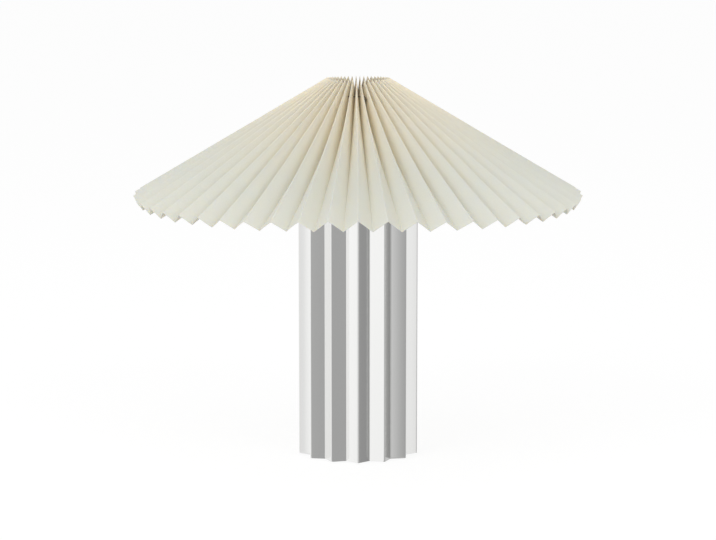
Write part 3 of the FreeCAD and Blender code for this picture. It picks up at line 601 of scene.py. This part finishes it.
def rounded(before, corner, after, radius):
    """Return the arc that rounds a corner between its two neighbours."""
    to_before = (before - corner).normalized()
    to_after = (after - corner).normalized()
    half = to_before.angle(to_after) / 2
    centre = corner + (to_before + to_after).normalized() * (radius / math.sin(half))
    start = corner + to_before * (radius / math.tan(half)) - centre
    end = corner + to_after * (radius / math.tan(half)) - centre
    return [centre + start.lerp(end, k / ARC_STEPS).normalized() * radius for k in range(ARC_STEPS + 1)]


def star_loop(inset, bends):
    """Return the rounded star in plan, in millimetres: a group round each corner and one on its facet."""
    corners = star_corners(inset)
    count = len(corners)
    arcs = []
    for i, corner in enumerate(corners):
        arcs.append(rounded(corners[i - 1], corner, corners[(i + 1) % count], bends[i % 2]))
    groups = []
    for i, arc in enumerate(arcs):
        start, end = arc[-1], arcs[(i + 1) % count][0]
        along = end - start
        outward = Vector((along.y, -along.x)).normalized()
        if outward.dot(start + end) < 0:
            outward = -outward
        groups.append(arc)
        crown = outward * 4 * facet_bow[i]
        groups.append([start.lerp(end, u) + crown * u * (1 - u) for u in WIDTH_MARKS])
    return groups


def add_grommet_hole(low, high, verts, faces):
    """Cut the cable's hole in a stretch of facet, given its lower and upper points, and return its ring."""
    centre = (verts[low[HOLE_LEFT]] + verts[low[HOLE_RIGHT]]) / 2
    centre.z = GROMMET_Z * MM
    along = (verts[low[HOLE_RIGHT]] - verts[low[HOLE_LEFT]]).normalized()
    points = []
    for k in range(GROMMET_SIDES):
        turn = math.pi / 2 + 2 * math.pi * k / GROMMET_SIDES
        way = along * math.cos(turn) + Vector((0, 0, math.sin(turn)))
        points.append(centre + way * GROMMET_HOLE_R * MM)
    ring = add_points(verts, points)
    half = GROMMET_SIDES // 2
    left_side = [high[HOLE_MIDDLE], high[HOLE_LEFT], low[HOLE_LEFT], low[HOLE_MIDDLE]]
    right_side = low[HOLE_MIDDLE:HOLE_RIGHT + 1] + high[HOLE_RIGHT:HOLE_LEFT:-1]
    faces.append(left_side + ring[half::-1])
    faces.append(right_side + [ring[0]] + ring[:half - 1:-1])
    return ring


def build_column():
    """Return the vertices and faces of the folded sleeve, with its wall and the cable's hole."""
    verts, faces, sides, rings = [], [], [], []
    for inset, bends in COLUMN_SIDES:
        star = star_loop(inset, bends)
        levels = []
        for z in COLUMN_LEVELS:
            levels.append([add_points(verts, [Vector((p.x * MM, p.y * MM, z * MM)) for p in group])
                           for group in star])
        sides.append(levels)
    for levels in sides:
        low, high = (levels[PIERCED_LEVEL + step][2 * GROMMET_FACET + 1] for step in (0, 1))
        pierced = low[HOLE_LEFT:HOLE_RIGHT]
        for lower, upper in zip(levels, levels[1:]):
            wall = wall_between(run_together(lower), run_together(upper))
            faces.extend(face for face in wall if face[0] not in pierced)
        rings.append(add_grommet_hole(low, high, verts, faces))
    faces.extend(wall_between(*rings))
    for level in (0, -1):
        faces.extend(wall_between(run_together(sides[0][level]), run_together(sides[1][level])))
    return verts, faces


column_verts, column_faces = build_column()
column = new_piece("folded_column", column_verts, column_faces, "base", aluminium)
face_outward(column, 35)
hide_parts("column_sleeve")


# ---- string and knot ----------------------------------------------------------------

LOOP_R = TOP_R + STRING_SLANT * math.cos(SLOPE) - STRING_DEPTH * math.sin(SLOPE)
LOOP_Z = TOP_Z - STRING_SLANT * math.sin(SLOPE) - STRING_DEPTH * math.cos(SLOPE)
PLY_R = 0.27
PLY_OFFSET = 0.24            # of each of the two plies from the string's middle
PLY_TURNS = 101
PLY_SIDES = 5
STEPS_PER_TURN = 6

KNOT_PLEAT = 1.5             # the inner fold that holds the knot, in pleats from the front
KNOT_TURN = math.radians(1.9)            # and how far it is turned, as the front folds are
KNOT_RISE = 2.0
KNOT_SLIDE = 6.4             # the knot hangs a little below the string
KNOT_SIZE = 0.56
KNOT_LOBES = 1.6             # how far its three loops reach, against the size of its middle
KNOT_STEPS = 36
KNOT_R = 0.46
LINK_R = 0.40
LINK_SPREAD = 0.07           # radians round the string from the knot to where each link leaves it
LINK_STEPS = 4
END_R = 0.42
END_DROP = 0.8
END_STEPS = 8
KNOT_ENDS = ((0.05, 3.4, 0.7), (0.55, 2.6, 0.9))         # each one's lean, length and rise
THREAD_SIDES = 7


def tube(points, radius, sides, closed):
    """Return the vertices and faces of a round tube along points, with a flat face at an open end."""
    verts, faces = [], []
    count = len(points)
    for i, point in enumerate(points):
        ahead = points[(i + 1) % count] if closed or i < count - 1 else point
        behind = points[i - 1] if closed or i > 0 else point
        along = (ahead - behind).normalized()
        side = along.cross(Vector((0, 0, 1))).normalized()
        rise = side.cross(along)
        for k in range(sides):
            turn = 2 * math.pi * k / sides
            verts.append(point + (side * math.cos(turn) + rise * math.sin(turn)) * radius)
    for i in range(count if closed else count - 1):
        a, b = i * sides, ((i + 1) % count) * sides
        for k in range(sides):
            n = (k + 1) % sides
            faces.append((a + k, b + k, b + n, a + n))
    if not closed:
        faces.append(tuple(range(sides)))
        faces.append(tuple(reversed(range((count - 1) * sides, count * sides))))
    return verts, faces


def joined(parts):
    """Return the vertices and faces of several parts as one."""
    verts, faces = [], []
    for part_verts, part_faces in parts:
        start = len(verts)
        verts.extend(part_verts)
        faces.extend(tuple(start + v for v in face) for face in part_faces)
    return verts, faces


def ply(start):
    """Return one of the string's two plies, twisted from a starting angle."""
    points = []
    for k in range(PLY_TURNS * STEPS_PER_TURN):
        twist = 2 * math.pi * k / STEPS_PER_TURN + start
        azimuth = 2 * math.pi * k / (PLY_TURNS * STEPS_PER_TURN)
        radius = LOOP_R + PLY_OFFSET * math.cos(twist)
        points.append(polar(radius, azimuth, LOOP_Z + PLY_OFFSET * math.sin(twist)))
    return tube(points, PLY_R * MM, PLY_SIDES, True)


def knot_parts():
    """Return a small overhand knot, its two links to the string and its two ends, lying in a pleat."""
    azimuth = 2 * math.pi * KNOT_PLEAT / PLEATS - KNOT_TURN
    around = Vector((math.sin(azimuth), -math.cos(azimuth), 0))
    up = Vector((0, 0, 1))
    outward = around * math.sin(SLOPE) + up * math.cos(SLOPE)
    downhill = around * math.cos(SLOPE) - up * math.sin(SLOPE)
    sideways = outward.cross(downhill)
    centre = polar(LOOP_R, azimuth, LOOP_Z) + (outward * KNOT_RISE + downhill * KNOT_SLIDE) * MM

    loop = []
    for k in range(KNOT_STEPS):
        t = 2 * math.pi * k / KNOT_STEPS
        x = math.sin(t) + KNOT_LOBES * math.sin(2 * t)
        y = math.cos(t) - KNOT_LOBES * math.cos(2 * t)
        loop.append(centre + (sideways * x + downhill * y - outward * math.sin(3 * t)) * KNOT_SIZE * MM)
    parts = [tube(loop, KNOT_R * MM, THREAD_SIDES, True)]

    for side in (-1, 1):
        start = polar(LOOP_R, azimuth + side * LINK_SPREAD, LOOP_Z)
        link = [start.lerp(centre, k / LINK_STEPS) for k in range(LINK_STEPS + 1)]
        parts.append(tube(link, LINK_R * MM, THREAD_SIDES, False))

    for lean, length, rise in KNOT_ENDS:
        line = []
        for k in range(END_STEPS + 1):
            s = k / END_STEPS
            flat = downhill * (length * s) + sideways * (lean * length * s * s)
            line.append(centre + (flat + outward * (rise * math.sin(math.pi * s) - END_DROP * s)) * MM)
        parts.append(tube(line, END_R * MM, THREAD_SIDES, False))
    return parts


string_verts, string_faces = joined([ply(0), ply(math.pi)])
string = new_piece("twisted_string", string_verts, string_faces, "shade", thread)
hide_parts("gather_string")

knot_verts, knot_faces = joined(knot_parts())
knot = new_piece("overhand_knot", knot_verts, knot_faces, "shade", thread)
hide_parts("string_knot")


# ---- studio -------------------------------------------------------------------------

# Places and lengths are in metres, apart from these three.
PICTURE_WIDTH = 716          # pixels
FOCAL_LENGTH = 2431          # pixels
SENSOR_WIDTH = 36            # millimetres
CAMERA_PLACE = (0, -2.448, 0.544)
CAMERA_DIP = math.radians(8.28)
CLIP_END = 100

# What polished metal sees round the horizon: azimuth in degrees, from the camera's side towards +X, and
# how bright it is there. It grows brighter upwards by SURROUND_RISE.
SURROUND = ((-180, 1.0), (-100, 0.98), (-84, 1.10), (-79, 1.0), (-76.5, 0.84), (-73, 0.86), (-69, 1.08),
            (-26, 1.07), (-21, 0.41), (-10, 0.42), (4, 0.80), (13, 0.74), (24, 0.43), (34, 0.43), (60, 0.34),
            (64, 0.36), (67, 0.98), (73, 0.97), (78, 0.74), (81, 0.32), (92, 0.32), (124, 0.40), (140, 0.75),
            (180, 1.0))
SURROUND_LEVEL = 1.03
SURROUND_RISE = 0.35
AMBIENT = 0.63

LIGHT_AIM = (0, 0, 0.25)
LIGHT_SIZE = 1.4

FLOOR_Z = -0.0003            # a hair below the felt, so that the two do not coincide
FLOOR_REACH = 60
FLOOR_COLOUR = (0.85, 0.85, 0.85, 1)
FLOOR_GLOW = 1.09            # the camera sees this much light of the floor's own
FLOOR_GLOW_SHARE = 0.8


def build_camera():
    data = bpy.data.cameras.new("camera")
    data.sensor_width = SENSOR_WIDTH
    data.lens = SENSOR_WIDTH * FOCAL_LENGTH / PICTURE_WIDTH
    data.clip_end = CLIP_END
    camera = bpy.data.objects.new("camera", data)
    camera.location = CAMERA_PLACE
    camera.rotation_euler = (math.pi / 2 - CAMERA_DIP, 0, 0)
    scene.collection.objects.link(camera)
    scene.camera = camera


def node_maker(tree):
    """Empty a node tree; return a function that adds a node with its inputs and returns its first output."""
    tree.nodes.clear()

    def made(kind, *inputs, operation=None):
        node = tree.nodes.new(kind)
        if operation:
            node.operation = operation
        for socket, value in zip(node.inputs, inputs):
            if isinstance(value, bpy.types.NodeSocket):
                tree.links.new(value, socket)
            else:
                socket.default_value = value
        return node.outputs[0] if node.outputs else None

    return made


def surround_colour(tree, share):
    """Return the surround's colour at a share of the way round: from behind, by -X, the front and +X."""
    ramp = tree.nodes.new("ShaderNodeValToRGB")
    elements = ramp.color_ramp.elements
    for azimuth, level in SURROUND[1:-1]:
        elements.new((azimuth + 180) / 360).color = (level, level, level, 1)
    for element, (_, level) in ((elements[0], SURROUND[0]), (elements[-1], SURROUND[-1])):
        element.color = (level, level, level, 1)
    tree.links.new(share, ramp.inputs["Fac"])
    return ramp.outputs["Color"]


def build_world():
    """White to the camera and through glass, an even glow for matt surfaces and the surround for metal."""
    world = bpy.data.worlds.new("studio")
    world.use_nodes = True
    scene.world = world
    tree = world.node_tree
    made = node_maker(tree)
    ways = tree.nodes.new("ShaderNodeLightPath").outputs
    coordinates = tree.nodes.new("ShaderNodeTexCoord")
    split = tree.nodes.new("ShaderNodeSeparateXYZ")
    tree.links.new(coordinates.outputs["Generated"], split.inputs["Vector"])
    x, y, z = split.outputs

    def maths(operation, *inputs):
        return made("ShaderNodeMath", *inputs, operation=operation)

    turn = maths("ARCTAN2", x, maths("MULTIPLY", y, -1.0))
    share = maths("ADD", maths("DIVIDE", turn, 2 * math.pi), 0.5)
    strength = maths("ADD", maths("MULTIPLY", z, SURROUND_RISE), SURROUND_LEVEL)
    white = (1, 1, 1, 1)
    surround = made("ShaderNodeBackground", surround_colour(tree, share), strength)
    even = made("ShaderNodeBackground", white, AMBIENT)
    lit = made("ShaderNodeMixShader", ways["Is Glossy Ray"], even, surround)
    seen = maths("MAXIMUM", ways["Is Camera Ray"], ways["Is Transmission Ray"])
    shown = made("ShaderNodeMixShader", seen, lit, made("ShaderNodeBackground", white, 1.0))
    made("ShaderNodeOutputWorld", shown)


def softbox(name, place, power):
    """Add a square light that metal does not mirror."""
    data = bpy.data.lights.new(name, "AREA")
    data.size = LIGHT_SIZE
    data.energy = power
    light = bpy.data.objects.new(name, data)
    light.location = place
    light.rotation_euler = (Vector(LIGHT_AIM) - Vector(place)).to_track_quat("-Z", "Y").to_euler()
    light.visible_glossy = False
    scene.collection.objects.link(light)


def floor_finish():
    """Pale and matt, so that it takes the lamp's shadow, and nearly white to the camera."""
    material = bpy.data.materials.new("floor")
    material.use_nodes = True
    made = node_maker(material.node_tree)
    diffuse = made("ShaderNodeBsdfDiffuse", FLOOR_COLOUR)
    glow = made("ShaderNodeEmission", (1, 1, 1, 1), FLOOR_GLOW)
    shown = made("ShaderNodeMixShader", FLOOR_GLOW_SHARE, diffuse, glow)
    ways = material.node_tree.nodes.new("ShaderNodeLightPath").outputs
    made("ShaderNodeOutputMaterial", made("ShaderNodeMixShader", ways["Is Camera Ray"], diffuse, shown))
    return material


def build_floor():
    corners = [(x * FLOOR_REACH, y * FLOOR_REACH, FLOOR_Z) for x, y in ((-1, -1), (1, -1), (1, 1), (-1, 1))]
    mesh = bpy.data.meshes.new("floor")
    mesh.from_pydata(corners, [], [(0, 1, 2, 3)])
    mesh.materials.append(floor_finish())
    floor = bpy.data.objects.new("floor", mesh)
    floor.visible_glossy = False
    scene.collection.objects.link(floor)


build_camera()
build_world()
softbox("key", (-1.6, -2.0, 1.9), 23.5)
softbox("fill", (1.6, -2.0, 1.8), 17)
build_floor()
